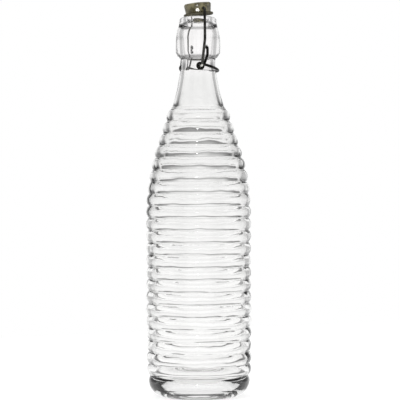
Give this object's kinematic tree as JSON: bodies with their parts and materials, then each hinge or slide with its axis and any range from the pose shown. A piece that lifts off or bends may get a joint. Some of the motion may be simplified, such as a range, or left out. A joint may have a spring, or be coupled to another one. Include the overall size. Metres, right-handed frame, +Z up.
{
  "type": "swing-top bottle",
  "caption": "Clear ribbed glass water bottle with a swing-top closure: wire lever, wire bail and a leaning stopper with a rubber gasket.",
  "frame": {"origin": "centre of the ring that the glass stands on, on the bottle's axis", "axes": "+Z up along the bottle's axis; +X towards the thumb bow of the lever; the pivots lie along Y"},
  "size_m": [0.0866, 0.0866, 0.3249],
  "materials": {
    "clear_glass": "polished",
    "lever_steel": "satin",
    "bail_steel": "satin",
    "stopper_plastic": "gloss",
    "gasket_rubber": "matte"
  },
  "bodies": {
    "bottle": {"glass_bottle": "clear_glass"},
    "lever": {"locking_lever": "lever_steel"},
    "bail": {"bail_wire": "bail_steel"},
    "stopper": {"stopper_head": "stopper_plastic", "stopper_gasket": "gasket_rubber"}
  },
  "joints": [
    {"name": "lever_pivot", "type": "hinge", "parent": "bottle", "child": "lever", "pos_m": [0, 0, 0.28665], "axis": [0, -1, 0], "range_deg": [0, 90], "deforming": ["stopper_gasket"]},
    {"name": "bail_pivot", "type": "hinge", "parent": "lever", "child": "bail", "pos_m": [-0.006, 0, 0.27125], "axis": [0, -1, 0], "range_deg": [-65, 1.5]},
    {"name": "stopper_pivot", "type": "hinge", "parent": "bail", "child": "stopper", "pos_m": [0, 0, 0.3189], "axis": [0, -1, 0], "range_deg": [-29.2, 0.7]}
  ],
  "couplings": [
    {"joint": "bail_pivot", "follows": "lever_pivot", "ratio": -0.69},
    {"joint": "stopper_pivot", "follows": "lever_pivot", "ratio": -0.31}
  ]
}
